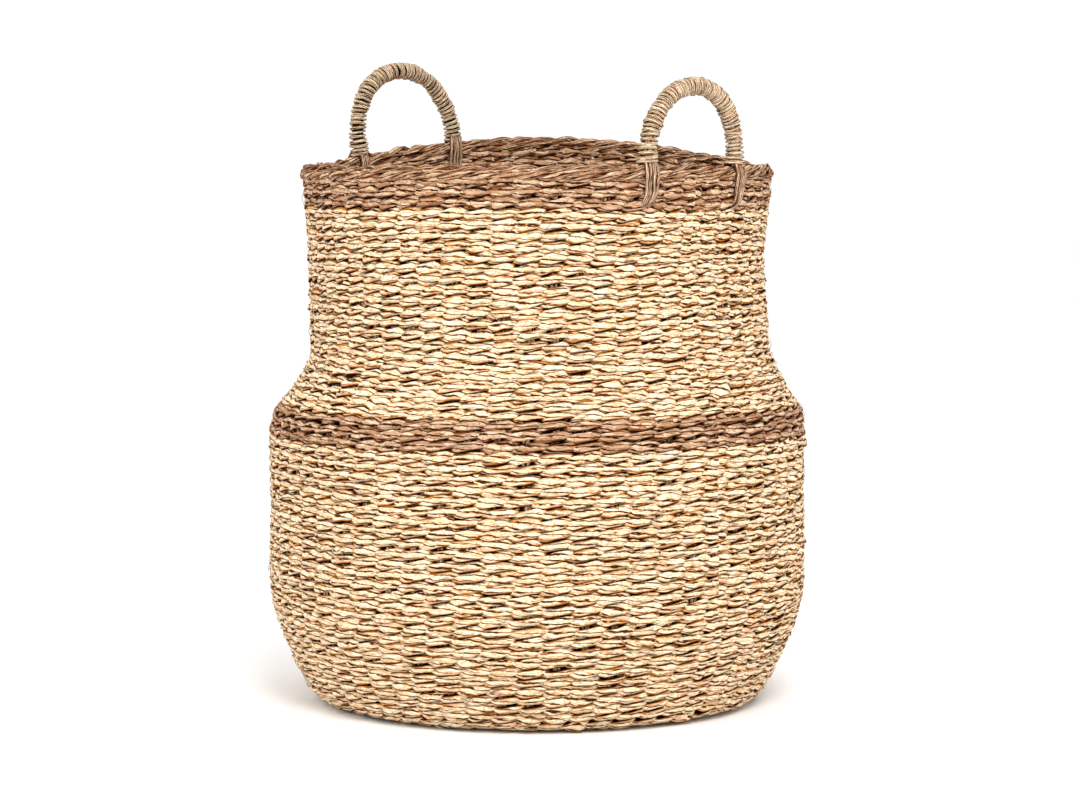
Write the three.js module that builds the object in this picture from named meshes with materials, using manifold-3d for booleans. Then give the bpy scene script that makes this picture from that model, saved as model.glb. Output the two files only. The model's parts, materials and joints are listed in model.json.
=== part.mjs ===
// A twined seagrass storage basket: a wide belly, a shoulder, a narrower neck and two wrapped rope handles.
// Millimetres, +Z up. The origin is the middle of the underside, and the handles stand on the X axis.
import * as THREE from "three";
import { mergeVertices } from "three/addons/utils/BufferGeometryUtils.js";
import Module from "manifold-3d";

// ---- Driving dimensions ----
const STAKES = 60; // uprights counted round the wall; each spoke makes two of them
const BASE_FLAT_RADIUS = 165; // the flat of the underside, where the corner starts to rise
const BELLY_RADIUS = 212.5;
const NECK_RADIUS = 180.7;
const RIM_RADIUS = 185.5;
const BAND_LOW = 213.5; // height of the dark belly band's lower and upper edge
const BAND_HIGH = 236;
const RIM_BAND_LOW = 391; // height where the dark rim band starts
const WALL_TOP = 411; // where the wall meets the border
const TALL_SIDE = THREE.MathUtils.degToRad(140); // azimuth where the hand-woven rim stands highest
const TALL_RISE = 24; // how much higher it stands there

const GAP = 0.3; // kept between neighbouring pieces
const FACE = 2.9; // thickness of a strand layer, outside or inside the stakes
const SLOT = 2.6; // room for the stakes between the two layers
const WALL = FACE + SLOT + FACE;
const BASE_FACE = 2.4;
const BASE_SLOT = 4.2; // two crossing layers of spokes fit here

const SPOKE_WIDTH = 4;
const SPOKE_THICK = 1.6;
const SPOKE_PITCH = 6; // spacing of the parallel spokes at the middle of the base
const CROSS_HALF = 45; // half the side of the square where the spokes cross
const FAN_RADIUS = 130; // where the spokes have fanned out to their own azimuths

const BORDER_RADIUS = 5.8; // section of the turned-down border
const BORDER_HEIGHT = WALL_TOP + GAP + BORDER_RADIUS;

const HANDLE_HALF_WIDTH = 48;
const HANDLE_RISE = 52; // from the hinge line to the middle of the grip
const CORE_RADIUS = 4.6;
const FOOT_RADIUS = 5;
const WRAP_RADIUS = 7;
const WRAP_START = 3; // the whipping starts this far up from the hinge line
const LASHING_WIDTH = 9;
const LASHING_THICK = 2.1;
const LASHING_DROP = 28; // how far the lashings reach down from the middle of the border
const LASHING_LEAN = 1.5; // the legs follow the neck inwards by this much

const LASHING_INNER = BORDER_RADIUS + 0.5;
const LASHING_OUTER = LASHING_INNER + LASHING_THICK;
const HINGE_HEIGHT = BORDER_HEIGHT + LASHING_OUTER + GAP + FOOT_RADIUS;
const HINGE_RADIUS = RIM_RADIUS - WALL / 2;
const FOOT_ANGLE = Math.asin(HANDLE_HALF_WIDTH / HINGE_RADIUS);

const STRAW = 0xe3c48f;
const DARK_GRASS = 0x9a7455;
const CORD = 0xc2a16f;

// ---- The wall's outer outline, from the flat of the underside up to the border ----
const outline = [
  [BASE_FLAT_RADIUS, 0],
  [182, 9.5],
  [198, 43],
  [210, 84],
  [BELLY_RADIUS, 115],
  [211.8, 160],
  [212, BAND_LOW],
  [207, BAND_HIGH],
  [189.5, 260],
  [181.3, 292],
  [NECK_RADIUS, 360],
  [184.7, RIM_BAND_LOW],
  [RIM_RADIUS, WALL_TOP],
].map(([radius, height]) => new THREE.Vector2(radius, height));

// The wall is woven in bands, named here with the first and last outline point of each.
const bands = [
  { name: "corner", first: 0, last: 2, colour: STRAW },
  { name: "lower_wall", first: 2, last: 4, colour: STRAW },
  { name: "belly_wall", first: 4, last: 6, colour: STRAW },
  { name: "belly_band", first: 6, last: 7, colour: DARK_GRASS },
  { name: "shoulder", first: 7, last: 9, colour: STRAW },
  { name: "neck_wall", first: 9, last: 11, colour: STRAW },
  { name: "rim_band", first: 11, last: 12, colour: DARK_GRASS },
];

// Which way is into the wall at an outline point: straight up where the wall leaves the base, level at its top.
function inwardAt(index) {
  if (index === 0) return new THREE.Vector2(0, 1);
  if (index === outline.length - 1) return new THREE.Vector2(-1, 0);
  const along = outline[index + 1].clone().sub(outline[index - 1]).normalize();
  return new THREE.Vector2(-along.y, along.x);
}

// A point of the wall at a depth behind its outer face. The station counts outline points, with fractions.
function wallPoint(station, depth) {
  const index = Math.min(Math.floor(station), outline.length - 2);
  const ends = [index, index + 1].map((i) => outline[i].clone().addScaledVector(inwardAt(i), depth));
  return ends[0].lerp(ends[1], station - index);
}

// ---- Shared helpers ----
const wasm = await Module();
wasm.setup();

function solidOf(geometry) {
  const bare = geometry.clone();
  bare.deleteAttribute("normal");
  bare.deleteAttribute("uv");
  const merged = mergeVertices(bare, 1e-3);
  const mesh = new wasm.Mesh({
    numProp: 3,
    vertProperties: merged.attributes.position.array,
    triVerts: new Uint32Array(merged.index.array),
  });
  return new wasm.Manifold(mesh);
}

function geometryOf(solid) {
  const mesh = solid.getMesh();
  return new THREE.BufferGeometry()
    .setAttribute("position", new THREE.BufferAttribute(mesh.vertProperties, 3))
    .setIndex(new THREE.BufferAttribute(mesh.triVerts, 1));
}

const basket = new THREE.Group();

function addPiece(name, geometry, colour, parent = basket) {
  const material = new THREE.MeshStandardMaterial({ color: colour, roughness: 0.85, metalness: 0 });
  const mesh = new THREE.Mesh(geometry, material);
  mesh.name = name;
  parent.add(mesh);
}

function polar(radius, azimuth, height) {
  return new THREE.Vector3(radius * Math.cos(azimuth), radius * Math.sin(azimuth), height);
}

// How far the uneven rim lifts a point: not at all below the shoulder, in full at the border.
function lift({ x, y, z }) {
  const facing = Math.max(0, Math.cos(Math.atan2(y, x) - TALL_SIDE));
  const share = THREE.MathUtils.clamp((z - BAND_HIGH) / (WALL_TOP - BAND_HIGH), 0, 1);
  return TALL_RISE * facing ** 2 * share;
}

function liftRim(geometry) {
  const places = geometry.attributes.position;
  const place = new THREE.Vector3();
  for (let i = 0; i < places.count; i++) {
    place.fromBufferAttribute(places, i);
    places.setZ(i, place.z + lift(place));
  }
  return geometry;
}

// A section of radius and height turned about Z, with a flat facet in front of each stake.
function turned(points) {
  return new THREE.LatheGeometry(points, STAKES, Math.PI / 2 + Math.PI / STAKES).rotateX(Math.PI / 2);
}

function circle(radius, sides) {
  return Array.from({ length: sides }, (_, i) => {
    const angle = (2 * Math.PI * i) / sides;
    return new THREE.Vector2(radius * Math.cos(angle), radius * Math.sin(angle));
  });
}

// ---- Base: an underside and a floor, with the crossing spokes between them ----
function addDisc(name, low) {
  const edge = BASE_FLAT_RADIUS - GAP;
  const corners = [[0, low], [edge, low], [edge, low + BASE_FACE], [0, low + BASE_FACE]];
  addPiece(name, turned(corners.map(([radius, height]) => new THREE.Vector2(radius, height))), STRAW);
}

function addBase() {
  addDisc("base_underside_weave", 0);
  addDisc("base_floor_weave", BASE_FACE + BASE_SLOT);
}

// ---- Wall: in each band the strands pass outside the stakes and inside them ----
function addWallLayer(name, { first, last, colour }, nearDepth, farDepth) {
  const trim = (index, way) => (GAP / 2 / outline[index].distanceTo(outline[index + way])) * way;
  const stations = [];
  for (let station = first; station <= last; station++) stations.push(station);
  stations[0] += trim(first, 1);
  stations[stations.length - 1] += trim(last, -1);
  const near = stations.map((station) => wallPoint(station, nearDepth));
  const far = stations.map((station) => wallPoint(station, farDepth)).reverse();
  addPiece(name, liftRim(turned([...near, ...far, near[0]])), colour);
}

function addWall() {
  for (const band of bands) {
    addWallLayer(`${band.name}_outer_strands`, band, 0, FACE);
    addWallLayer(`${band.name}_inner_strands`, band, FACE + SLOT, WALL);
  }
}

// ---- Spokes: each runs down the wall, across the base and up the far side ----
// A place on a spoke holds its face nearer the outside of the basket, its other face, and its width direction.
function wallPlace(station, azimuth) {
  const facetShare = Math.cos(Math.PI / STAKES);
  const [under, over] = [-0.5, 0.5].map((side) => {
    const point = wallPoint(station, WALL / 2 + side * SPOKE_THICK);
    return polar(point.x * facetShare, azimuth, point.y);
  });
  return { under, over, across: polar(1, azimuth + Math.PI / 2, 0) };
}

function basePlace(x, y, level, across) {
  const under = new THREE.Vector3(x, y, level - SPOKE_THICK / 2);
  const over = new THREE.Vector3(x, y, level + SPOKE_THICK / 2);
  return { under, over, across };
}

function mirrored({ under, over, across }) {
  const [farUnder, farOver] = [under, over].map(({ x, y, z }) => new THREE.Vector3(-x, y, z));
  return { under: farUnder, over: farOver, across: new THREE.Vector3(-across.x, across.y, 0) };
}

function spokePlaces(index, level) {
  const middle = (STAKES / 4 - 1) / 2;
  const azimuth = ((index - middle) * 2 * Math.PI) / STAKES;
  const fan = polar(FAN_RADIUS, azimuth, level);
  const half = [];
  for (let station = outline.length - 1; station >= 0; station--) half.push(wallPlace(station, azimuth));
  half.push(basePlace(fan.x, fan.y, level, polar(1, azimuth + Math.PI / 2, 0)));
  half.push(basePlace(CROSS_HALF, (index - middle) * SPOKE_PITCH, level, new THREE.Vector3(0, 1, 0)));
  return [...half, ...half.map(mirrored).reverse()];
}

// A four-sided strip through the places, closed at both ends.
function strip(places) {
  const corners = places.flatMap(({ under, over, across }) => [
    under.clone().addScaledVector(across, -SPOKE_WIDTH / 2),
    under.clone().addScaledVector(across, SPOKE_WIDTH / 2),
    over.clone().addScaledVector(across, SPOKE_WIDTH / 2),
    over.clone().addScaledVector(across, -SPOKE_WIDTH / 2),
  ]);
  const last = corners.length - 4;
  const faces = [0, 1, 2, 0, 2, 3, last, last + 2, last + 1, last, last + 3, last + 2];
  for (let ring = 0; ring < last; ring += 4) {
    for (let side = 0; side < 4; side++) {
      const a = ring + side;
      const b = ring + ((side + 1) % 4);
      faces.push(a, b + 4, b, a, a + 4, b + 4);
    }
  }
  return new THREE.BufferGeometry().setFromPoints(corners).setIndex(faces);
}

function addSpokes() {
  const lowLevel = BASE_FACE + GAP + SPOKE_THICK / 2;
  const sets = [
    { level: lowLevel, turn: 0 },
    { level: lowLevel + SPOKE_THICK + GAP, turn: Math.PI / 2 },
  ];
  const perSet = STAKES / 4;
  sets.forEach(({ level, turn }, set) => {
    for (let i = 0; i < perSet; i++) {
      const number = String(set * perSet + i + 1).padStart(2, "0");
      addPiece(`spoke_${number}`, liftRim(strip(spokePlaces(i, level)).rotateZ(turn)), DARK_GRASS);
    }
  });
}

// ---- Border: the spoke ends turned down and bound round the rim ----
function addBorder() {
  const middle = new THREE.Vector2(HINGE_RADIUS, BORDER_HEIGHT);
  const section = circle(BORDER_RADIUS, 8).map((corner) => corner.add(middle));
  addPiece("rim_border", liftRim(turned([...section, section[0]])), DARK_GRASS);
}

// ---- Handles ----
// A lashing straddles the border, with one leg down each face of the rim band.
function addLashing(name, azimuth) {
  const shape = new THREE.Shape();
  shape.moveTo(LASHING_OUTER - LASHING_LEAN, -LASHING_DROP);
  shape.absarc(0, 0, LASHING_OUTER, 0, Math.PI, false);
  shape.lineTo(-LASHING_OUTER - LASHING_LEAN, -LASHING_DROP);
  shape.lineTo(-LASHING_INNER - LASHING_LEAN, -LASHING_DROP);
  shape.absarc(0, 0, LASHING_INNER, Math.PI, 0, true);
  shape.lineTo(LASHING_INNER - LASHING_LEAN, -LASHING_DROP);
  const settings = { depth: LASHING_WIDTH, bevelEnabled: false, curveSegments: 6 };
  const geometry = new THREE.ExtrudeGeometry(shape, settings)
    .translate(0, 0, -LASHING_WIDTH / 2)
    .rotateX(Math.PI / 2)
    .translate(HINGE_RADIUS, 0, BORDER_HEIGHT)
    .rotateZ(azimuth);
  addPiece(name, liftRim(geometry), CORD);
}

// The grip's middle line: half an ellipse in the handle's own plane, cut off a little above the hinge line.
function gripLine(startAngle, steps) {
  const points = Array.from({ length: steps + 1 }, (_, i) => {
    const angle = startAngle + ((Math.PI - 2 * startAngle) * i) / steps;
    return new THREE.Vector3(-HANDLE_HALF_WIDTH * Math.cos(angle), HANDLE_RISE * Math.sin(angle), 0);
  });
  return new THREE.CatmullRomCurve3(points);
}

function sweep(section, path, steps) {
  return new THREE.ExtrudeGeometry(section, { steps, extrudePath: path });
}

function coreGeometry() {
  const steps = 14;
  const tube = solidOf(sweep(new THREE.Shape(circle(CORE_RADIUS, 10)), gripLine(0, steps), steps));
  const feet = [-HANDLE_HALF_WIDTH, HANDLE_HALF_WIDTH].map((x) =>
    solidOf(new THREE.SphereGeometry(FOOT_RADIUS, 12, 8).translate(x, 0, 0)),
  );
  return geometryOf(tube.add(feet[0]).add(feet[1]));
}

function wrapGeometry() {
  const steps = 14;
  const section = new THREE.Shape(circle(WRAP_RADIUS, 10));
  section.holes.push(new THREE.Path(circle(CORE_RADIUS + 2 * GAP, 10).reverse()));
  return sweep(section, gripLine(WRAP_START / HANDLE_RISE, steps), steps);
}

function hingePoint(azimuth) {
  const point = polar(HINGE_RADIUS, azimuth, HINGE_HEIGHT);
  point.z += lift(point);
  return point;
}

// The handle's own X runs along the hinge line from its first foot to its second, and its Y up the grip.
function addHandle(name, azimuth) {
  const first = hingePoint(azimuth - FOOT_ANGLE);
  const second = hingePoint(azimuth + FOOT_ANGLE);
  const along = second.clone().sub(first).normalize();
  const outward = along.clone().cross(new THREE.Vector3(0, 0, 1)).normalize();
  const up = outward.clone().cross(along);
  const handle = new THREE.Group();
  handle.matrixAutoUpdate = false;
  handle.matrix.makeBasis(along, up, outward).setPosition(first.add(second).multiplyScalar(0.5));
  basket.add(handle);
  addPiece(`${name}_core`, coreGeometry(), DARK_GRASS, handle);
  addPiece(`${name}_wrap`, wrapGeometry(), CORD, handle);
  addLashing(`${name}_lashing_1`, azimuth - FOOT_ANGLE);
  addLashing(`${name}_lashing_2`, azimuth + FOOT_ANGLE);
}

addBase();
addWall();
addSpokes();
addBorder();
addHandle("right_handle", 0);
addHandle("left_handle", Math.PI);

export default basket;
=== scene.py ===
"""The looks of a twined seagrass storage basket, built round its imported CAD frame. Metres, +Z up."""
import json
import math

import bpy
import numpy as np
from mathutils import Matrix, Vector


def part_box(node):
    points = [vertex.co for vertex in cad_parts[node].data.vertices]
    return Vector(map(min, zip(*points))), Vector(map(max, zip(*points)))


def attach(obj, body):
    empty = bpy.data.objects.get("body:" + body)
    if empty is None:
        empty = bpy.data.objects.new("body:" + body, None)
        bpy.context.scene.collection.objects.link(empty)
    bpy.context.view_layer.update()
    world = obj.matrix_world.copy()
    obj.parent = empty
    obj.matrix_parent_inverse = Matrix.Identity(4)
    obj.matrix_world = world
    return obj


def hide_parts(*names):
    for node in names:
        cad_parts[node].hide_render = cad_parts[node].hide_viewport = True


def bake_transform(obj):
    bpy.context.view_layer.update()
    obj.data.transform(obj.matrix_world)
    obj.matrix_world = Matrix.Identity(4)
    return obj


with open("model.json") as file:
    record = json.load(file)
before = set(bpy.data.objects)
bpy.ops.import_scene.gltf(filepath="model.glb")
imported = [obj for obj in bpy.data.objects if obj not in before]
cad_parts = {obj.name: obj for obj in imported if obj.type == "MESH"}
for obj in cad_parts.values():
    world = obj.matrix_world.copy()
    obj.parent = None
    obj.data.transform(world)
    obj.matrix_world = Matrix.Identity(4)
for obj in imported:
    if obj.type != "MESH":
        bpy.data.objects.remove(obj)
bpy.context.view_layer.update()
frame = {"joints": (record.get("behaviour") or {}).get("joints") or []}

MM = 0.001

# ---- Sizes taken from the frame ----
NECK_FLARE = 4 * MM  # the top of the neck stands this far outside its narrowest part
BASE_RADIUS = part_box("base_underside_weave")[1].x
BASE_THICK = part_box("base_floor_weave")[1].z
BELLY_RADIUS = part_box("belly_wall_outer_strands")[1].x
NECK_RADIUS = -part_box("neck_wall_outer_strands")[0].x - NECK_FLARE
BAND_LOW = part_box("belly_band_outer_strands")[0].z
BAND_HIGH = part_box("shoulder_outer_strands")[0].z
RIM_BAND_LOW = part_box("rim_band_outer_strands")[0].z
BORDER_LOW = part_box("rim_border")[0].z
BORDER_THICK = 11.6 * MM
RIM_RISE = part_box("rim_border")[1].z - BORDER_LOW - BORDER_THICK
RIM_TALL_SIDE = math.radians(140)  # azimuth where the uneven rim stands highest

# ---- The weave ----
STAKES = 60
WALL_THICK = 8.4 * MM
ROW_PITCH = 8.0 * MM
DARK_ROW_PITCH = 7.0 * MM
ROWS_PER_PIECE = 9
BASE_THINNING = 0.8  # strands in the base are this much flatter

STRAND_SWING = 2.4 * MM  # a strand's middle passes this far outside and inside the middle of the wall
STRAND_CLIMB = 1.3 * MM  # and this far above and below the middle of its row
STRAND_WIDE = 3.95 * MM  # half its width over a stake, outside
STRAND_NARROW = 3.0 * MM  # where two strands cross
STRAND_INSIDE = 4.0 * MM  # and behind a stake
STRAND_THICK = 1.8 * MM  # half its thickness
OUTER_BIAS = 0.45  # strands cross this share of the swing outside the middle of the wall
FLAT_OVER = 1.25  # the swing is drawn this much too wide and cut off, so a strand lies flat over a stake
SAMPLES = 9  # along a strand, from one stake to the next
SECTION = 10  # round a strand
PLIES = 3  # leaves twisted together in one strand
PLY_SWELL = 0.18  # how far each ply swells the strand
TWIST = 85.0  # radians of twist per metre
PATTERN_LENGTH = 40  # metres of leaf pattern, in which each strand starts at its own place

# ---- How unevenly the strands are worked: the spreads of random lines of values along them ----
ROW_SLIP = 0.12  # a row's crossings all lie up to this share of a stitch to one side
STITCH_SLIP = 0.06  # and this much more from place to place
ROW_DRIFT = 0.15 * MM  # of a row up and down the wall
ROW_DRIFT_KNOTS = 13
STRAND_DRIFT = 0.2 * MM  # of one strand
SWING_SPREAD = 0.07
WIDTH_SPREAD = 0.09  # from stitch to stitch
FINE_WIDTH_SPREAD = 0.06  # within a stitch
THICKNESS_SPREAD = 0.1
TIP_SPREAD = 0.3  # of how far a strand's flat side leans from the wall's
TONE_SPREAD = 0.14
ROW_TONES = (0.35, 0.65)  # tone runs from 0, deep, to 1, pale
END_TONES = (0.2, 0.8)  # of the spokes and their ends

rng = np.random.default_rng(7)

# ---- Hand-made unevenness: slow waves that neighbouring rows and stakes share ----
WAVE_SLANT = 35  # a wave shifts by up to this many radians per metre up the wall
WAVE_TURNS = (2, 3, 5, 7, 9, 11, 14, 17)
WAVES = [
    (turns, rng.uniform(-WAVE_SLANT, WAVE_SLANT), rng.uniform(0, 2 * math.pi), rng.uniform(0, 2 * math.pi))
    for turns in WAVE_TURNS
]
WAVE_FADE = 0.7  # each wave is divided by this power of its turns
WAVE_SUM = 1.5  # and their sum by this, to lie mostly between -1 and 1
ROW_WAVE = 1.5 * MM  # how far they move the rows up and down
STAKE_WAVE = 1.4 * MM  # the stakes sideways
ROUND_WAVE = 0.5 * MM  # and the wall in and out
WAVES_END = 15 * MM  # the waves die out over this stretch below the border
NECK_LEAN = (  # at these heights the wall's middle leans this far towards azimuth LEAN_SIDE
    [BAND_HIGH - 20 * MM, BAND_HIGH + 26 * MM, BAND_HIGH + 65 * MM, RIM_BAND_LOW - 40 * MM, RIM_BAND_LOW],
    [0, -3 * MM, -1.5 * MM, 1 * MM, 0],
)
LEAN_SIDE = math.radians(230)


def shared_waves(azimuth, s, phase):
    total = 0
    for turns, slant, first, second in WAVES:
        total = total + np.sin(turns * azimuth + slant * s + first + phase * second) / turns**WAVE_FADE
    return total / WAVE_SUM


# ---- The spokes in the base ----
SPOKE_PITCH = 6 * MM  # between neighbouring spokes where they cross at the middle of the base
SPOKE_WIDE = 3.0 * MM  # half the width of a spoke
SPOKE_THICK = 1.2 * MM  # and half its thickness
SPOKE_TWIST = 40.0
SPOKE_STEP = 6 * MM  # between a spoke's points, up the wall
CROSS_HALF = 45 * MM  # half the side of the square where they cross
CROSS_SWING = 1.3 * MM  # how far a spoke rises and dips as it goes over and under the others
FAN_RADIUS = 130 * MM  # where they have fanned out to their own azimuths
FAN_POINTS = 8
CENTRE_RADIUS = 62 * MM  # the first course round the crossing
PAIRED_RADIUS = 112 * MM  # inside this the courses take the spokes two at a time

# ---- The border ----
BORDER_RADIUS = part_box("rim_border")[1].x - BORDER_THICK / 2
BORDER_HEIGHT = BORDER_LOW + BORDER_THICK / 2
BORDER_SAMPLES = 64  # along one spoke end
BORDER_REACH = (5.4, 0.2)  # stakes that one spoke end passes: the mean and the spread
BORDER_LEAD = 0.2  # the share of its reach that lies before its stake
BORDER_SHIFT = (0, 0.08)  # stakes by which it misses its place: mean and spread
BORDER_START = (-85, 6)  # degrees round the border's middle where it starts: mean and spread
BORDER_TURN = 335  # and how far round the middle it goes
BORDER_COIL = 3.4 * MM  # its distance from the border's middle
BORDER_OVER = 1.2 * MM  # it passes this much further out over a neighbour, and further in under one
BORDER_COIL_SPREAD = 0.1
BORDER_WOBBLE = 0.12  # the spread of its distance and its width along it
BORDER_TALLER = 1.15  # the border is this much taller than it is wide
BORDER_END_WIDE = 2.5 * MM  # half its width
BORDER_OVER_WIDE = 0.7 * MM  # it is this much wider over a neighbour, and narrower under one
BORDER_END_THICK = 1.5 * MM  # half its thickness
BORDER_TIP = 0.02  # the share of its length at each tip that no longer tapers
BORDER_TAPER = 0.3  # the smaller, the more suddenly it tapers
BORDER_CORE = 3.6 * MM  # the radius of the bundle of ends that fills the middle
BORDER_CORE_SAMPLES = 240

# ---- The handles ----
GRIPS = {  # the two feet along the hinge line, how high the grip rises, how far its top leans along
    "right_handle": (-40 * MM, 49 * MM, 52 * MM, 3 * MM),
    "left_handle": (-54 * MM, 45 * MM, 57 * MM, 4 * MM),
}
GRIP_SQUARENESS = 0.92  # below 1 the grip's legs stand straighter than half an ellipse
FOOT_DROP = 7 * MM  # the whipping reaches this far below the hinge line
WRAP_TURNS = 54
WRAP_RADIUS = 5.6 * MM  # to the middle of the cord
WRAP_SAMPLES = 14  # in one turn
WRAP_FOOT_SHARE = 0.09  # of the grip's length, over which the whipping grows towards each foot
WRAP_FOOT_SWELL = 0.22
WRAP_SLANT = 0.7 * MM  # the spread of how far a turn of the cord strays along the grip
CORD_WIDE = 1.33 * MM  # half the width of the cord
CORD_THICK = 1.5 * MM  # and half its thickness
CORD_TWIST = 200.0
CORE_RADIUS = 4.6 * MM
CORE_SAMPLES = 90
CORE_TWIST = 60.0
LASHING_DROP = 24 * MM  # from the border's middle
LASHING_STRANDS = 4  # on each face of the rim
LASHING_PITCH = 2.5 * MM
LASHING_SWEEP = 2.5 * MM  # the last quarter of each strand sweeps aside by this much
LASHING_SPLAY = 0.25  # the strands stand this share further apart half-way down
LASHING_WIDE = 1.25 * MM  # half the width of a strand
LASHING_THICK = 1.2 * MM  # and half its thickness
LASHING_TOP = 3 * MM  # below the hinge
LASHING_SAMPLES = 22

# ---- A strand's depth tells its material where it runs, and so where to paint shade: 1 outside, -1 inside, above 1 always in sight ----
SPOKE_DEPTH = 1.7
BORDER_DEPTH = 1.45
# a border end's depth is higher over a neighbour, so it is painted lighter there, and lower under one, in
# painted shade
BORDER_OVER_DEPTH = 0.2


# ---- The middle of the wall, as radius and height ----
PROFILE_STEPS = 24  # points from one corner of the profile to the next
BASE_POINTS = round(2.5 * PROFILE_STEPS)  # how many of them lie on the base and the start of the corner


class Profile:
    """A smooth line through corner points, measured along its length."""

    def __init__(self, corners):
        points = np.array(corners, float)
        padded = np.vstack([2 * points[0] - points[1], points, 2 * points[-1] - points[-2]])
        fine = []
        for i in range(len(points) - 1):
            before, start, end, after = padded[i : i + 4]
            for t in np.linspace(0, 1, PROFILE_STEPS, endpoint=False):
                fine.append(catmull_rom(before, start, end, after, t))
        fine.append(points[-1])
        self.points = np.array(fine)
        lengths = np.linalg.norm(np.diff(self.points, axis=0), axis=1)
        self.along = np.concatenate([[0], np.cumsum(lengths)])
        self.length = self.along[-1]
        slopes = np.gradient(self.points, self.along, axis=0)
        self.slopes = slopes / np.linalg.norm(slopes, axis=1)[:, None]

    def at(self, s):
        """Radius, height, and the unit direction along the line, at distances s."""
        radius = np.interp(s, self.along, self.points[:, 0])
        height = np.interp(s, self.along, self.points[:, 1])
        along_r = np.interp(s, self.along, self.slopes[:, 0])
        along_z = np.interp(s, self.along, self.slopes[:, 1])
        return radius, height, along_r, along_z

    def where(self, height):
        """The distance along the line where it reaches a height above the base."""
        return np.interp(height, self.points[:, 1], self.along)

    def where_on_base(self, radius):
        """The distance along the line where the base reaches a radius."""
        return np.interp(radius, self.points[:BASE_POINTS, 0], self.along[:BASE_POINTS])


def catmull_rom(before, start, end, after, t):
    slope_in = (end - before) / 2
    slope_out = (after - start) / 2
    return (
        (2 * t**3 - 3 * t**2 + 1) * start
        + (t**3 - 2 * t**2 + t) * slope_in
        + (3 * t**2 - 2 * t**3) * end
        + (t**3 - t**2) * slope_out
    )


def wall_profile():
    """Base, corner, belly, shoulder and neck. Radii are those of the middle of the wall."""
    inset = WALL_THICK / 2
    belly = BELLY_RADIUS - inset
    neck = NECK_RADIUS - inset
    return Profile(
        [
            (CENTRE_RADIUS, BASE_THICK / 2),
            (BASE_RADIUS - 20 * MM, BASE_THICK / 2),
            (BASE_RADIUS - 1 * MM, BASE_THICK / 2 + 0.6 * MM),
            (BASE_RADIUS + 11 * MM, 10 * MM),
            (BASE_RADIUS + 21 * MM, 26 * MM),
            (belly - 13 * MM, 47 * MM),
            (belly - 2 * MM, 78 * MM),
            (belly + 0.5 * MM, 112 * MM),
            (belly - 0.7 * MM, 160 * MM),
            (belly - 0.2 * MM, BAND_LOW),
            (belly - 3 * MM, BAND_HIGH - 5 * MM),
            (belly - 12 * MM, BAND_HIGH + 7 * MM),
            (neck + 9.5 * MM, BAND_HIGH + 24 * MM),
            (neck + 2.5 * MM, BAND_HIGH + 40 * MM),
            (neck + 1 * MM, BAND_HIGH + 65 * MM),
            (neck + 0.3 * MM, RIM_BAND_LOW - 35 * MM),
            (neck + 3.5 * MM, RIM_BAND_LOW),
            (neck + 4.5 * MM, BORDER_LOW + 4 * MM),
        ]
    )


WALL = wall_profile()
CORNER_START = WALL.where_on_base(BASE_RADIUS - 2 * MM)


def rim_lift(azimuth, height):
    """How far the uneven rim lifts a place: nothing below the belly band's top, all of it at the border."""
    facing = np.maximum(0, np.cos(azimuth - RIM_TALL_SIDE))
    share = np.clip((height - BAND_HIGH) / (BORDER_LOW - BAND_HIGH), 0, 1)
    return RIM_RISE * facing**2 * share


def wall_frame(azimuth, s):
    """Places on the middle of the wall, with unit vectors outwards and up the wall."""
    free = np.clip(s / CORNER_START - 1, 0, 1) * np.clip((WALL.length - s) / WAVES_END, 0, 1)
    radius, height, along_r, along_z = WALL.at(s + free * ROW_WAVE * shared_waves(azimuth, s, 0))
    radius = radius + free * ROUND_WAVE * shared_waves(azimuth, s, 1)
    azimuth = azimuth + free * STAKE_WAVE / radius * shared_waves(azimuth, s, 2)
    cos, sin = np.cos(azimuth), np.sin(azimuth)
    lean = np.interp(height, *NECK_LEAN)
    x = radius * cos + lean * math.cos(LEAN_SIDE)
    y = radius * sin + lean * math.sin(LEAN_SIDE)
    place = np.stack([x, y, height + rim_lift(azimuth, height)], -1)
    out = np.stack([along_z * cos, along_z * sin, -along_r], -1)
    up = np.stack([along_r * cos, along_r * sin, along_z], -1)
    return place, out, up


def polar(radius, azimuth, height):
    """Places, or ways, given by a radius, an azimuth and a height."""
    return np.stack([radius * np.cos(azimuth), radius * np.sin(azimuth), height + 0 * azimuth], -1)


# ---- Random lines of values ----
def wander(count, knots, size):
    """A closed, smooth, random line of values: knots random ones, eased between."""
    values = rng.normal(0, size, knots)
    place = np.arange(count) * knots / count
    before = place.astype(int) % knots
    ease = place - place.astype(int)
    ease = ease * ease * (3 - 2 * ease)
    return values[before] * (1 - ease) + values[(before + 1) % knots] * ease


def wander_open(count, knots, size):
    """An open, smooth, random line of values."""
    return np.interp(np.linspace(0, knots - 1, count), np.arange(knots), rng.normal(0, size, knots))


# ---- Tubes gathered into meshes ----
FLOOR_GAP = 0.1 * MM  # nothing reaches below this height


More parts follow.
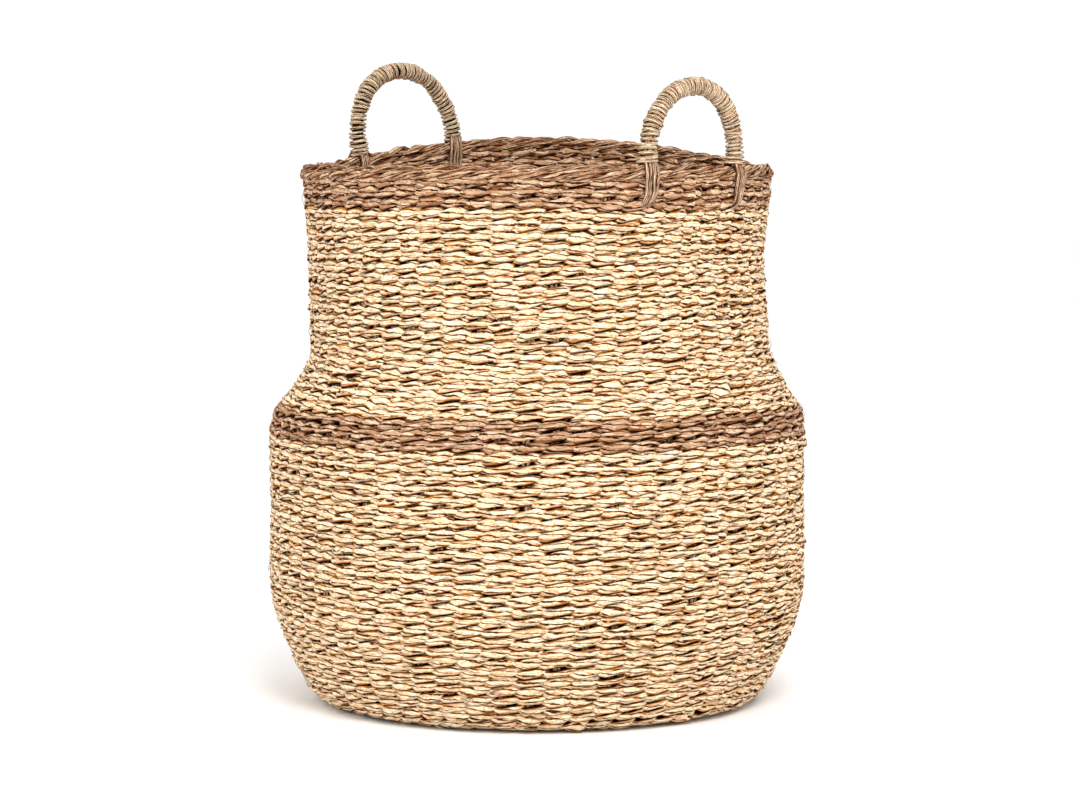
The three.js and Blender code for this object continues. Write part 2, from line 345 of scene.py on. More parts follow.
class Tubes:
    """Many strands in one mesh. Each has a middle line, two half sizes, and a tone and a depth."""

    def __init__(self):
        self.places = []
        self.quads = []
        self.uvs = []
        self.tones = []
        self.depths = []
        self.count = 0

    def add(self, middle, wide_way, thick_way, wide, thick, tone=0.5, depth=1.0, section=SECTION,
            closed=False, swell=PLY_SWELL, twist=TWIST):
        """Sweeps a lobed oval along the middle line. A closed strand joins its own start."""
        n = len(middle)
        steps = np.linalg.norm(np.diff(middle, axis=0), axis=1)
        along = np.concatenate([[0], np.cumsum(steps)]) + rng.uniform(0, PATTERN_LENGTH)
        turn = np.linspace(0, 2 * math.pi, section, endpoint=False)
        lobe = 1 + swell * np.cos(PLIES * turn[None, :] + (twist * along)[:, None])
        across = (np.cos(turn)[None, :] * lobe)[..., None] * (wide_way * spread(wide, n))[:, None, :]
        through = (np.sin(turn)[None, :] * lobe)[..., None] * (thick_way * spread(thick, n))[:, None, :]
        self.places.append((middle[:, None, :] + across + through).reshape(-1, 3))
        self.tones.append(np.repeat(spread(tone, n)[:, 0], section))
        self.depths.append(np.repeat(spread(depth, n)[:, 0], section))
        self.skin(along, n, section, closed)
        if not closed:
            self.cap(along[0], 0, section)
            self.cap(along[-1], n - 1, section)
        self.count += n * section

    def skin(self, along, n, section, closed):
        """The quads between neighbouring rings, with their places in the leaf pattern."""
        rings = n if closed else n - 1
        ring = np.arange(rings)[:, None]
        side = np.arange(section)[None, :]
        next_ring = (ring + 1) % n
        next_side = (side + 1) % section
        corners = [
            ring * section + side,
            ring * section + next_side,
            next_ring * section + next_side,
            next_ring * section + side,
        ]
        quads = np.stack(np.broadcast_arrays(*corners), -1).reshape(-1, 4)
        self.quads.append(quads + self.count)
        last_step = along[-1] - along[-2] if closed else 0
        stops = np.append(along, along[-1] + last_step)
        u0, u1 = stops[ring + 0 * side], stops[ring + 1 + 0 * side]
        v0, v1 = side / section + 0 * ring, (side + 1) / section + 0 * ring
        self.uvs.append(np.stack([u0, v0, u0, v1, u1, v1, u1, v0], -1).reshape(-1, 2))

    def cap(self, u, ring, section):
        """Fans an open end shut, from the ring's first corner."""
        first = self.count + ring * section
        for side in range(1, section - 2, 2):
            corners = [first, first + side, first + side + 1, first + side + 2]
            if ring:
                corners.reverse()
            self.quads.append(np.array([corners]))
            self.uvs.append(np.array([[u, 0.5]] * 4))

    def make(self, name, material, slot):
        places = np.concatenate(self.places)
        places[:, 2] = np.maximum(places[:, 2], FLOOR_GAP)
        quads = np.concatenate(self.quads)
        mesh = bpy.data.meshes.new(name)
        mesh.vertices.add(len(places))
        mesh.vertices.foreach_set("co", places.astype(np.float32).ravel())
        mesh.loops.add(quads.size)
        mesh.loops.foreach_set("vertex_index", quads.astype(np.int32).ravel())
        mesh.polygons.add(len(quads))
        mesh.polygons.foreach_set("loop_start", np.arange(0, quads.size, 4, dtype=np.int32))
        mesh.polygons.foreach_set("use_smooth", np.ones(len(quads), bool))
        mesh.update(calc_edges=True)
        layer = mesh.uv_layers.new(name="strand")
        layer.data.foreach_set("uv", np.concatenate(self.uvs).astype(np.float32).ravel())
        for attribute, values in (("tone", self.tones), ("depth", self.depths)):
            store = mesh.attributes.new(attribute, "FLOAT", "POINT")
            store.data.foreach_set("value", np.concatenate(values).astype(np.float32))
        mesh.validate(clean_customdata=False)
        mesh.materials.append(material)
        piece = bpy.data.objects.new(name, mesh)
        bpy.context.scene.collection.objects.link(piece)
        return piece


def spread(value, n):
    """One value or n of them, as a column."""
    return np.broadcast_to(np.asarray(value, float).reshape(-1, 1), (n, 1))


def lay(tubes, middle, outs, wide, thick, **more):
    """Adds a strand whose flat faces look along outs."""
    along = np.gradient(middle, axis=0)
    across = np.cross(outs, along)
    across /= np.linalg.norm(across, axis=1)[:, None]
    faces = np.cross(along, across)
    faces /= np.linalg.norm(faces, axis=1)[:, None]
    tubes.add(middle, across, faces, wide, thick, **more)


# ---- Twined courses ----
def twined_course(tubes, s, pitch, stakes=STAKES, tone=0.5, thin=1.0):
    """One row: two strands that wind round each other and pass each stake on opposite sides."""
    count = stakes * SAMPLES
    u = np.arange(count) / SAMPLES
    azimuth = u * 2 * math.pi / stakes
    drift = wander(count, ROW_DRIFT_KNOTS, ROW_DRIFT)
    fill = pitch / ROW_PITCH
    if WALL.at(s)[1] > BAND_HIGH:
        fill = fill * (1 + rim_lift(azimuth, BORDER_LOW) / (BORDER_LOW - BAND_HIGH))
    slip = rng.uniform(-ROW_SLIP, ROW_SLIP) + wander(count, stakes // 2, STITCH_SLIP)
    for side in (1, -1):
        swing = side * np.cos(math.pi * (u + slip))
        climb = side * np.sin(math.pi * (u + slip))
        outward = np.clip(FLAT_OVER * swing + OUTER_BIAS * (1 - swing**2), -1, 1)
        half_wide = np.interp(outward, [-1, OUTER_BIAS, 1], [STRAND_INSIDE, STRAND_NARROW, STRAND_WIDE])
        own_drift = wander(count, stakes, STRAND_DRIFT)
        place, out, up = wall_frame(azimuth, s + drift + own_drift + climb * STRAND_CLIMB * fill)
        bulge = STRAND_SWING * (1 + wander(count, stakes, SWING_SPREAD))
        middle = place + out * (outward * bulge * thin)[:, None]
        uneven = wander(count, stakes, WIDTH_SPREAD) + wander(count, 3 * stakes, FINE_WIDTH_SPREAD)
        thick = STRAND_THICK * (1 + wander(count, stakes, THICKNESS_SPREAD)) * thin
        tip = wander(count, stakes, TIP_SPREAD)[:, None]
        tubes.add(
            middle, up + out * tip, out - up * tip, half_wide * fill * (1 + uneven), thick,
            tone=np.clip(tone + wander(count, stakes, TONE_SPREAD), 0, 1),
            depth=np.clip(FLAT_OVER * swing, -1, 1), closed=True,
        )


def weave_band(name, low, high, pitch, material, slot, nodes):
    """Fills a stretch of the wall with courses, in pieces of a few rows each."""
    rows = max(1, round((high - low) / pitch))
    step = (high - low) / rows
    pieces = math.ceil(rows / ROWS_PER_PIECE)
    for part in range(pieces):
        tubes = Tubes()
        for row in range(part * rows // pieces, (part + 1) * rows // pieces):
            twined_course(tubes, low + (row + 0.5) * step, step, tone=rng.uniform(*ROW_TONES))
        label = name if pieces == 1 else f"{name}_{part + 1}"
        piece = tubes.make(label, material, slot)
        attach(piece, "root")
        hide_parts(*nodes)


def strand_nodes(*bands):
    return [f"{band}_{side}_strands" for band in bands for side in ("outer", "inner")]


def weave_wall(straw, dark):
    band_low, band_high = WALL.where(BAND_LOW), WALL.where(BAND_HIGH)
    rim_low, top = WALL.where(RIM_BAND_LOW), WALL.where(BORDER_LOW + 4 * MM)
    weave_band("lower_wall_weave", CORNER_START, band_low, ROW_PITCH, straw, "straw_strands",
               strand_nodes("corner", "lower_wall", "belly_wall"))
    weave_band("belly_band_weave", band_low, band_high, DARK_ROW_PITCH, dark, "dark_strands",
               strand_nodes("belly_band"))
    weave_band("upper_wall_weave", band_high, rim_low, ROW_PITCH, straw, "straw_strands",
               strand_nodes("shoulder", "neck_wall"))
    weave_band("rim_band_weave", rim_low, top, DARK_ROW_PITCH, dark, "dark_strands",
               strand_nodes("rim_band"))


def weave_base(material):
    """Courses round the crossed spokes, out to the corner."""
    rows = round(CORNER_START / ROW_PITCH)
    step = CORNER_START / rows
    rings = {"base_middle_weave": Tubes(), "base_outer_weave": Tubes()}
    for row in range(rows):
        s = (row + 0.5) * step
        paired = WALL.at(s)[0] < PAIRED_RADIUS
        tubes = rings["base_middle_weave" if paired else "base_outer_weave"]
        twined_course(tubes, s, step, stakes=STAKES // 2 if paired else STAKES, thin=BASE_THINNING)
    for name, tubes in rings.items():
        piece = tubes.make(name, material, "straw_strands")
        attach(piece, "root")
        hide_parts("base_underside_weave", "base_floor_weave")


# ---- Spokes ----
def spoke_half(index, turn, mirrored):
    """One spoke from the rim down to the middle of the base, with its outward ways."""
    middle_index = (STAKES // 4 - 1) / 2
    fanned = (index - middle_index) * 2 * math.pi / STAKES
    azimuth = turn + (math.pi - fanned if mirrored else fanned)
    s = np.arange(WALL.length - 2 * MM, CORNER_START, -SPOKE_STEP)
    places, outs, _ = wall_frame(np.full(len(s), azimuth), s)
    offset = (index - middle_index) * SPOKE_PITCH
    fan = np.array([FAN_RADIUS * math.cos(fanned), FAN_RADIUS * math.sin(fanned), 0])
    crossing = np.array([CROSS_HALF, offset, 0])
    base = [fan * (1 - t) + crossing * t for t in np.linspace(0, 1, FAN_POINTS)[:-1]]
    starts_over = (-1) ** index * (1 if turn else -1)
    for x in np.arange(CROSS_HALF, -SPOKE_PITCH / 8, -SPOKE_PITCH / 4):
        base.append(np.array([x, offset, CROSS_SWING * starts_over * math.cos(math.pi * x / SPOKE_PITCH)]))
    base = np.array(base)
    if mirrored:
        base[:, 0] *= -1
    cos, sin = math.cos(turn), math.sin(turn)
    x, y, z = base.T
    base = np.stack([x * cos - y * sin, x * sin + y * cos, z + BASE_THICK / 2], -1)
    down = np.tile([0.0, 0.0, -1.0], (len(base), 1))
    return np.vstack([places, base]), np.vstack([outs, down])


def add_spokes(material):
    per_set = STAKES // 4
    for which, turn in enumerate((0, math.pi / 2)):
        for index in range(per_set):
            near, near_outs = spoke_half(index, turn, False)
            far, far_outs = spoke_half(index, turn, True)
            places = np.vstack([near, far[-2::-1]])
            outs = np.vstack([near_outs, far_outs[-2::-1]])
            tubes = Tubes()
            lay(tubes, places, outs, SPOKE_WIDE, SPOKE_THICK, tone=rng.uniform(*END_TONES),
                depth=SPOKE_DEPTH, twist=SPOKE_TWIST)
            number = which * per_set + index + 1
            piece = tubes.make(f"spoke_{number:02d}_grass", material, "spoke_grass")
            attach(piece, "root")
            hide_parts(f"spoke_{number:02d}")


# ---- Border: each spoke end bends over its neighbours and is tucked in ----
def border_end(tubes, end):
    """One spoke end, from where it comes out of the wall at stake number end."""
    t = np.linspace(0, 1, BORDER_SAMPLES)
    reach = rng.normal(*BORDER_REACH)
    run = end + rng.normal(*BORDER_SHIFT) + reach * (t - BORDER_LEAD)
    azimuth = run * 2 * math.pi / STAKES
    round_turn = np.radians(rng.normal(*BORDER_START) + BORDER_TURN * t)
    over = np.cos(math.pi * (run + end))
    uneven = rng.normal(1, BORDER_COIL_SPREAD) + wander_open(BORDER_SAMPLES, 7, BORDER_WOBBLE)
    coil = (BORDER_COIL + BORDER_OVER * over) * uneven
    height = BORDER_HEIGHT + coil * np.sin(round_turn) * BORDER_TALLER
    middle = polar(BORDER_RADIUS + coil * np.cos(round_turn), azimuth, height)
    middle[:, 2] += rim_lift(azimuth, height)
    outs = polar(np.cos(round_turn), azimuth, np.sin(round_turn))
    ends = np.sin(math.pi * np.clip(t, BORDER_TIP, 1 - BORDER_TIP)) ** BORDER_TAPER
    wobble = 1 + wander_open(BORDER_SAMPLES, 9, BORDER_WOBBLE)
    wide = (BORDER_END_WIDE + BORDER_OVER_WIDE * over) * ends * wobble
    tone = np.clip(rng.uniform(*END_TONES) + wander_open(BORDER_SAMPLES, 5, 0.15), 0, 1)
    lay(tubes, middle, outs, wide, BORDER_END_THICK * ends, tone=tone,
        depth=BORDER_DEPTH + BORDER_OVER_DEPTH * over)


def add_border(material):
    tubes = Tubes()
    for end in range(STAKES):
        border_end(tubes, end)
    azimuth = np.arange(BORDER_CORE_SAMPLES) * 2 * math.pi / BORDER_CORE_SAMPLES
    core = polar(BORDER_RADIUS, azimuth, BORDER_HEIGHT + rim_lift(azimuth, BORDER_HEIGHT))
    out = polar(1, azimuth, 0)
    up = np.tile([0.0, 0.0, 1.0], (BORDER_CORE_SAMPLES, 1))
    tubes.add(core, -out, up, BORDER_CORE, BORDER_CORE, tone=0.3, depth=0.0, closed=True)
    piece = tubes.make("rim_border_braid", material, "dark_strands")
    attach(piece, "root")
    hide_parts("rim_border")


# ---- Handles ----
def handle_frame(joint):
    """The middle of the hinge line, and unit vectors along it, outwards and up the grip."""
    middle = np.array(joint["pos_m"], float)
    along = np.array(joint["axis"], float)
    along /= np.linalg.norm(along)
    out = np.cross(along, [0, 0, 1])
    out /= np.linalg.norm(out)
    up = np.cross(out, along)
    return middle, along, out, up


def directions(line):
    """Unit vectors along a line."""
    heading = np.gradient(line, axis=0)
    return heading / np.linalg.norm(heading, axis=1)[:, None]


def grip_line(joint, count):
    """The middle of the grip from below one foot to below the other, with its outward ways."""
    middle, along, out, up = handle_frame(joint)
    first, second, rise, lean = GRIPS[joint["child"]]
    half_width = (second - first) / 2
    q = np.linspace(0, 1, count)
    arc = math.pi * (half_width + rise) / 2
    foot_share = FOOT_DROP / (arc + 2 * FOOT_DROP)
    angle = math.pi * np.clip((q - foot_share) / (1 - 2 * foot_share), 0, 1)
    below = FOOT_DROP * (np.clip(1 - q / foot_share, 0, 1) + np.clip(1 - (1 - q) / foot_share, 0, 1))
    across = np.sign(np.cos(angle)) * np.abs(np.cos(angle)) ** GRIP_SQUARENESS
    x = (first + second) / 2 - half_width * across + lean * np.sin(angle)
    y = rise * np.sin(angle) - below
    return middle + x[:, None] * along + y[:, None] * up, np.tile(out, (count, 1))


def wrap_grip(tubes, joint):
    """One cord wound closely round the grip, a little thicker towards each foot."""
    count = WRAP_TURNS * WRAP_SAMPLES
    line, out = grip_line(joint, count)
    heading = directions(line)
    side = np.cross(heading, out)
    q = np.linspace(0, 1, count)
    turn = np.arange(count) * 2 * math.pi / WRAP_SAMPLES
    near_foot = np.clip(1 - np.minimum(q, 1 - q) / WRAP_FOOT_SHARE, 0, 1)
    uneven = wander_open(count, 2 * WRAP_TURNS, 0.06) + wander_open(count, 12, 0.03)
    radius = WRAP_RADIUS * (1 + WRAP_FOOT_SWELL * near_foot + uneven)
    away = out * np.cos(turn)[:, None] + side * np.sin(turn)[:, None]
    slant = wander_open(count, WRAP_TURNS, WRAP_SLANT) * np.sin(turn + wander_open(count, 15, 1.5))
    middle = line + away * radius[:, None] + heading * slant[:, None]
    wide = CORD_WIDE * (1 + wander_open(count, WRAP_TURNS * 2, 0.13))
    tone = np.clip(0.5 + wander_open(count, WRAP_TURNS, 0.25), 0, 1)
    tubes.add(middle, heading, away, wide, CORD_THICK, tone=tone, section=6, swell=0.1, twist=CORD_TWIST)


def add_handle(joint, cord, core_grass):
    name = joint["child"]
    tubes = Tubes()
    wrap_grip(tubes, joint)
    wrap = tubes.make(f"{name}_cord_wrap", cord, "cord_wrap")
    tubes = Tubes()
    line, out = grip_line(joint, CORE_SAMPLES)
    lay(tubes, line, out, CORE_RADIUS, CORE_RADIUS, section=12, swell=0.05, twist=CORE_TWIST, tone=0.4)
    core = tubes.make(f"{name}_grass_core", core_grass, "handle_core")
    for piece, part in ((wrap, "wrap"), (core, "core")):
        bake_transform(piece)
        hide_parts(f"{name}_{part}")


def add_lashings(joint, material):
    """Strands at each foot: they come out of the whipping, straddle the border and go into the rim band."""
    name = joint["child"]
    middle, along, _, _ = handle_frame(joint)
    for foot, distance in enumerate(GRIPS[name][:2], 1):
        place = middle + distance * along
        azimuth = math.atan2(place[1], place[0])
        tubes = Tubes()
        for face in (1, -1):
            for strand in range(LASHING_STRANDS):
                offset = (strand - (LASHING_STRANDS - 1) / 2) * LASHING_PITCH
                lashing_strand(tubes, azimuth, place[2], face, offset)
        piece = tubes.make(f"{name}_lashing_{foot}_strands", material, "cord_wrap")
        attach(piece, "root")
        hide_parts(f"{name}_lashing_{foot}")


def lashing_strand(tubes, azimuth, hinge_height, face, offset):
    """face is 1 for a strand down the outside of the rim band, and -1 for one down the inside."""
    t = np.linspace(0, 1, LASHING_SAMPLES)
    lift = rim_lift(azimuth, BORDER_HEIGHT)
    top = hinge_height - lift - LASHING_TOP
    bottom = BORDER_HEIGHT - LASHING_DROP + rng.normal(0, 1.0 * MM)
    height = top + (bottom - top) * t
    stand = (  # at these heights the strand stands this far from the middle of the wall
        [bottom, bottom + 2.5 * MM, BORDER_LOW - 6 * MM, BORDER_HEIGHT, BORDER_HEIGHT + 6 * MM, top],
        [1.5 * MM, 5.2 * MM, 5.6 * MM, 7.4 * MM, 5.4 * MM, 2.5 * MM],
    )
    stand_out = np.interp(height, *stand) + rng.uniform(-0.2, 0.5) * MM
    radius = WALL.at(WALL.where(height))[0] + face * stand_out
    swept = face * LASHING_SWEEP * np.clip(4 * t - 3, 0, 1)
    aside = offset * (1 + LASHING_SPLAY * np.sin(math.pi * t)) - swept
    turned = azimuth + (aside + wander_open(LASHING_SAMPLES, 4, 0.25 * MM)) / BORDER_RADIUS
    middle = polar(radius, turned, height + lift)
    wide = LASHING_WIDE * (1 + wander_open(LASHING_SAMPLES, 5, 0.14))
    lay(tubes, middle, face * polar(1, turned, 0), wide, LASHING_THICK, tone=rng.uniform(0, 1))


# ---- Stray fibres: leaf edges and hairs that have worked loose from the strands ----
FIBRE_SAMPLES = 9
FIBRE_LENGTHS = (5, 17)  # millimetres
FIBRE_SLOPE = (0.25, 0.5)  # radians above level: the mean and the spread
FIBRE_ROOT = WALL_THICK / 2 - 0.5 * MM  # a fibre starts just under the surface
FIBRE_STANDS = (0.2, 2.2)  # millimetres that it stands off
FIBRE_ARCS = (0.55, 0.95)  # half turns of the arc that it makes
FIBRE_WOBBLE = 0.6 * MM
FIBRE_WIDTHS = (0.2, 0.5)  # millimetres, half its width at the root
FIBRE_TAPER = 0.7
FIBRE_THICK = 0.18 * MM


def stray_fibre(tubes, low, high):
    t = np.linspace(0, 1, FIBRE_SAMPLES)
    start = rng.uniform(0, 2 * math.pi)
    s = rng.uniform(low, high)
    length = rng.uniform(*FIBRE_LENGTHS) * MM
    slope = rng.normal(*FIBRE_SLOPE)
    azimuth = start + length * math.cos(slope) * t / WALL.at(s)[0]
    place, out, up = wall_frame(azimuth, s + length * math.sin(slope) * t)
    stand = rng.uniform(*FIBRE_STANDS) * MM
    off = FIBRE_ROOT + stand * np.sin(math.pi * t * rng.uniform(*FIBRE_ARCS))
    middle = place + out * off[:, None] + up * wander_open(FIBRE_SAMPLES, 4, FIBRE_WOBBLE)[:, None]
    wide = rng.uniform(*FIBRE_WIDTHS) * MM * (1 - FIBRE_TAPER * t)
    lay(tubes, middle, out, wide, FIBRE_THICK, section=5, tone=rng.uniform(0.3, 1))


def add_stray_fibres(name, material, slot, count, low, high):
    tubes = Tubes()
    for _ in range(count):
        stray_fibre(tubes, low, high)
    piece = tubes.make(name, material, slot)
    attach(piece, "root")


# ---- Materials ----
class Shader:
    """A short way to write a node material."""

    def __init__(self, name):
        self.material = bpy.data.materials.new(name)
        self.material.use_nodes = True
        self.tree = self.material.node_tree
        self.surface = self.tree.nodes["Principled BSDF"]

    def node(self, kind, **settings):
        made = self.tree.nodes.new(kind)
        for name, value in settings.items():
            setattr(made, name, value)
        return made

    def put(self, socket, value):
        """A socket takes another socket's output, or a plain value."""
        if isinstance(value, bpy.types.NodeSocket):
            self.tree.links.new(value, socket)
        else:
            socket.default_value = value

    def attribute(self, name):
        return self.node("ShaderNodeAttribute", attribute_name=name).outputs["Fac"]

    def strand_place(self):
        """Metres along the strand, and turns round it."""
        split = self.node("ShaderNodeSeparateXYZ")
        self.put(split.inputs[0], self.node("ShaderNodeUVMap", uv_map="strand").outputs[0])
        return split.outputs[0], split.outputs[1]

    def place(self, x, y):
        """A place in a flat pattern."""
        made = self.node("ShaderNodeCombineXYZ")
        self.put(made.inputs[0], x)
        self.put(made.inputs[1], y)
        return made.outputs[0]

    def noise(self, place, scale=1.0, detail=2.0, roughness=0.55):
        made = self.node("ShaderNodeTexNoise")
        self.put(made.inputs["Vector"], place)
        self.put(made.inputs["Scale"], scale)
        self.put(made.inputs["Detail"], detail)
        self.put(made.inputs["Roughness"], roughness)
        return made.outputs["Fac"]

    def cells(self, place):
        """Random leaf facets: a value for each, and how near its edge a place is."""
        values = []
        for feature, output in (("F1", "Color"), ("DISTANCE_TO_EDGE", "Distance")):
            made = self.node("ShaderNodeTexVoronoi", feature=feature, voronoi_dimensions="2D")
            self.put(made.inputs["Vector"], place)
            self.put(made.inputs["Scale"], 1.0)
            values.append(made.outputs[output])
        split = self.node("ShaderNodeSeparateColor")
        self.put(split.inputs[0], values[0])
        return split.outputs[0], values[1]

    def math(self, operation, first, second=0.0):
        made = self.node("ShaderNodeMath", operation=operation)
        self.put(made.inputs[0], first)
        self.put(made.inputs[1], second)
        return made.outputs[0]

    def scaled(self, value, factor):
        return self.math("MULTIPLY", value, factor)

    def centred(self, value, size):
        """A noise from 0 to 1 as one round 0, of a given size."""
        return self.scaled(self.math("SUBTRACT", value, 0.5), size)

    def span(self, value, low, high, to_low=0.0, to_high=1.0):
        """Maps low to high onto to_low to to_high, and holds the ends."""
        made = self.node("ShaderNodeMapRange")
        self.put(made.inputs["Value"], value)
        self.put(made.inputs["From Min"], low)
        self.put(made.inputs["From Max"], high)
        self.put(made.inputs["To Min"], to_low)
        self.put(made.inputs["To Max"], to_high)
        return made.outputs[0]

    def mix(self, share, first, second):
        made = self.node("ShaderNodeMix", data_type="RGBA")
        self.put(made.inputs["Factor"], share)
        self.put(made.inputs[6], first)
        self.put(made.inputs[7], second)
        return made.outputs[2]

    def bump(self, height, distance):
        made = self.node("ShaderNodeBump")
        self.put(made.inputs["Height"], height)
        self.put(made.inputs["Distance"], distance)
        self.put(self.surface.inputs["Normal"], made.outputs[0])


def linear(red, green, blue):
    """A colour as seen on a screen, from 0 to 255, as Blender's linear values."""
    def one(value):
        value /= 255
        return value / 12.92 if value <= 0.04045 else ((value + 0.055) / 1.055) ** 2.4
    return (one(red), one(green), one(blue), 1.0)


# The leaf pattern, by the metre along a strand and by the ply round it
SURFACE_PLIES = 5
SURFACE_TWIST = -280.0  # radians per metre
LEAVES_ALONG = 40.0
FACETS_ALONG = 80.0
FACETS_PER_PLY = 1.5
FIBRES_ALONG = 160.0
FIBRES_PER_PLY = 3.0
RELIEF = 1.2 * MM


def exposure(shader, round_strand, folds):
    """How much light to paint onto a place, for painted shade: little under a strand's lower edge, and where
    it dives out of sight.
    """
    depth = shader.attribute("depth")
    turned_out = shader.math("SINE", shader.scaled(shader.math("ADD", round_strand, 0.02), 2 * math.pi))
    from_outside = shader.math("MULTIPLY", turned_out, shader.span(depth, -0.7, -0.1))
    from_inside = shader.math("MULTIPLY", turned_out, shader.span(depth, 0.3, 0.9, -1.0, 0.0))
    exposed = shader.math("MAXIMUM", from_outside, from_inside)
    exposed = shader.math("MAXIMUM", exposed, shader.math("SUBTRACT", depth, 1.0))
    return shader.math("ADD", exposed, shader.centred(folds, 0.5))


def grass_material(name, pale, body, streak_and_half_shade, deep_shade, shade):
    """Twisted seagrass: pale leaf faces, warm edges that are partly tan and partly painted half-shade, and
    painted shade in the creases. Exposed less than shade, it darkens with painted shade.
    """
    shader = Shader(name)
    along, round_strand = shader.strand_place()
    twisted = shader.scaled(along, SURFACE_TWIST / (2 * math.pi))
    ply = shader.math("ADD", shader.scaled(round_strand, SURFACE_PLIES), twisted)
    leaf_place = shader.place(shader.scaled(along, LEAVES_ALONG), ply)
    folds = shader.noise(leaf_place, scale=2.2, roughness=0.6)
    patches = shader.noise(leaf_place, scale=0.35, detail=1.0)
    bent = shader.math("ADD", ply, shader.centred(folds, 1.1))
    wave = shader.math("COSINE", shader.scaled(bent, 2 * math.pi))  # 1 on a ply's crown, -1 between two plies
    facet_place = shader.place(shader.scaled(along, FACETS_ALONG), shader.scaled(bent, FACETS_PER_PLY))
    facet, edge = shader.cells(facet_place)
    fibre_place = shader.place(shader.scaled(along, FIBRES_ALONG), shader.scaled(ply, FIBRES_PER_PLY))
    fine = shader.noise(fibre_place)
    tone = shader.attribute("tone")
    exposed = exposure(shader, round_strand, folds)

    layers = (  # the pattern, its values where a layer starts and is full, the layer's strength, its colour
        (facet, 0.3, 0.7, 1.0, body),  # leaf faces
        (tone, 0.55, 0.15, 0.6, body),  # deeper stretches of a strand
        (patches, 0.56, 0.7, 0.2, streak_and_half_shade),  # tanned patches
        (facet, 0.78, 0.82, 0.22, streak_and_half_shade),  # tanned leaves
        (fine, 0.52, 0.72, 0.3, streak_and_half_shade),  # fibres
        (edge, 0.06, 0.01, 0.7, streak_and_half_shade),  # leaf edges
        (wave, -0.4, -0.75, 0.85, streak_and_half_shade),  # the sides of the creases between plies: tan leaf edges, and painted half-shade
        (wave, -0.76, -0.9, 0.95, deep_shade),  # and their bottoms, painted shade
        (exposed, shade + 0.3, shade, 0.8, streak_and_half_shade),  # painted half-shade, where light begins to fail
        (exposed, shade + 0.05, shade - 0.3, 1.0, deep_shade),  # painted shade, where no light comes
    )
    colour = pale
    for pattern, start, full, strength, paint in layers:
        colour = shader.mix(shader.span(pattern, start, full, 0.0, strength), colour, paint)
    shader.put(shader.surface.inputs["Base Color"], colour)
    shader.put(shader.surface.inputs["Roughness"], shader.span(fine, 0.3, 0.7, 0.5, 0.8))
    shader.put(shader.surface.inputs["Specular IOR Level"], 0.03)

    height = shader.scaled(wave, 0.45)
    for pattern, share in ((fine, 0.35), (facet, 0.6), (shader.span(edge, 0.0, 0.3), 0.9)):
        height = shader.math("ADD", height, shader.scaled(pattern, share))
    shader.bump(height, RELIEF)
    return shader.material


def floor_material():
    shader = Shader("pale_floor")
    shader.put(shader.surface.inputs["Base Color"], (0.97, 0.97, 0.97, 1))
    shader.put(shader.surface.inputs["Roughness"], 0.9)
    return shader.material


# ---- Camera, light and floor ----
CAMERA_AZIMUTH = math.radians(50)
CAMERA_DISTANCE = 2.519
CAMERA_HEIGHT = 0.4269
CAMERA_PITCH = math.radians(4.37)
CAMERA_LENS = 106.2
CAMERA_SHIFT = 0.001
LIGHT_TARGET = Vector((0, 0, 0.2))
WORLD_STRENGTH = 1.04
FLOOR_HALF = 12


def add_camera():
    data = bpy.data.cameras.new("camera")
    data.lens = CAMERA_LENS
    data.shift_x = CAMERA_SHIFT
    camera = bpy.data.objects.new("camera", data)
    bpy.context.scene.collection.objects.link(camera)
    camera.location = (
        math.sin(CAMERA_AZIMUTH) * CAMERA_DISTANCE,
        -math.cos(CAMERA_AZIMUTH) * CAMERA_DISTANCE,
        CAMERA_HEIGHT,
    )
    camera.rotation_euler = (math.pi / 2 - CAMERA_PITCH, 0, CAMERA_AZIMUTH)
    bpy.context.scene.camera = camera


def add_area_light(name, azimuth, elevation, distance, size, power):
    """A soft square light that looks at the basket. Azimuth is measured as the camera's is."""
    data = bpy.data.lights.new(name, "AREA")
    data.size = size
    data.energy = power
    light = bpy.data.objects.new(name, data)
    bpy.context.scene.collection.objects.link(light)
    a, e = math.radians(azimuth), math.radians(elevation)
    away = Vector((math.sin(a) * math.cos(e), -math.cos(a) * math.cos(e), math.sin(e)))
    light.location = LIGHT_TARGET + away * distance
    light.rotation_euler = away.to_track_quat("Z", "Y").to_euler()


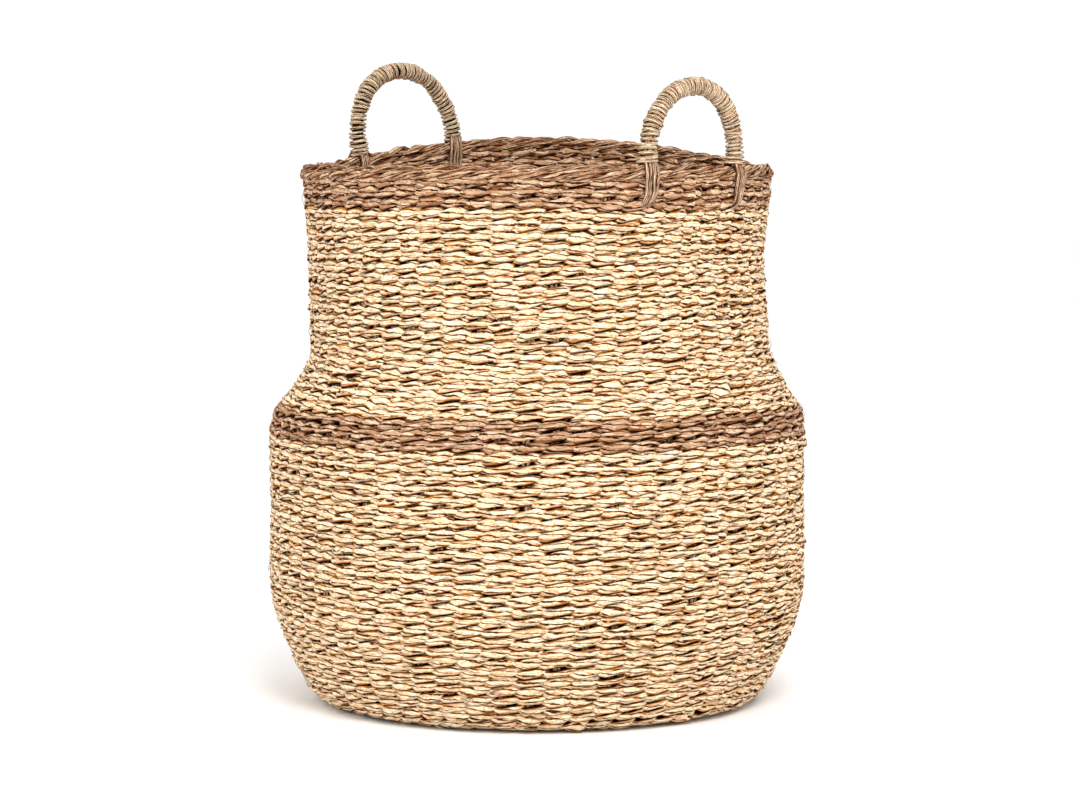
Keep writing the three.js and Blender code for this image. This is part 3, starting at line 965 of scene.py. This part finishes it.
def add_floor():
    low, high = -FLOOR_HALF, FLOOR_HALF
    mesh = bpy.data.meshes.new("floor")
    mesh.from_pydata([(low, low, 0), (high, low, 0), (high, high, 0), (low, high, 0)], [], [(0, 1, 2, 3)])
    mesh.materials.append(floor_material())
    floor = bpy.data.objects.new("floor", mesh)
    bpy.context.scene.collection.objects.link(floor)


def add_studio():
    world = bpy.data.worlds.new("studio")
    world.use_nodes = True
    background = world.node_tree.nodes["Background"]
    background.inputs["Color"].default_value = (1, 1, 1, 1)
    background.inputs["Strength"].default_value = WORLD_STRENGTH
    bpy.context.scene.world = world
    bpy.context.scene.view_settings.view_transform = "Standard"
    add_area_light("key", azimuth=62, elevation=42, distance=2.6, size=1.1, power=46)
    add_area_light("fill", azimuth=0, elevation=25, distance=2.8, size=1.6, power=12)
    add_floor()


add_camera()
add_studio()

# In each grass material below, the darkest colour is painted shade, in the creases between plies and where a
# strand is out of the light; the orange-brown colour is the grass's own tan, and also painted half-shade.
straw = grass_material(
    "straw_grass",
    pale=linear(251, 236, 202),
    body=linear(253, 234, 198),
    streak_and_half_shade=linear(212, 128, 38),
    deep_shade=linear(38, 4, 0),
    shade=0.4,
)
dark = grass_material(
    "dark_grass",
    pale=linear(230, 196, 162),
    body=linear(192, 153, 119),
    streak_and_half_shade=linear(140, 74, 26),
    deep_shade=linear(16, 1, 0),
    shade=0.38,
)
cord = grass_material(
    "cord_grass",
    pale=linear(255, 240, 210),
    body=linear(255, 226, 188),
    streak_and_half_shade=linear(214, 158, 112),
    deep_shade=linear(50, 24, 8),
    shade=0.0,
)
lashing = grass_material(
    "lashing_grass",
    pale=linear(236, 212, 176),
    body=linear(204, 164, 132),
    streak_and_half_shade=linear(172, 110, 78),
    deep_shade=linear(44, 16, 6),
    shade=0.2,
)
weave_wall(straw, dark)
weave_base(straw)
add_spokes(dark)
add_border(dark)
for joint in frame["joints"]:
    add_handle(joint, cord, dark)
    add_lashings(joint, lashing)
rim_band_start, border_start = WALL.where(RIM_BAND_LOW), WALL.where(BORDER_LOW)
add_stray_fibres("stray_straw_fibres", straw, "straw_strands", 700, CORNER_START, rim_band_start)
add_stray_fibres("stray_dark_fibres", dark, "dark_strands", 90, rim_band_start, border_start)
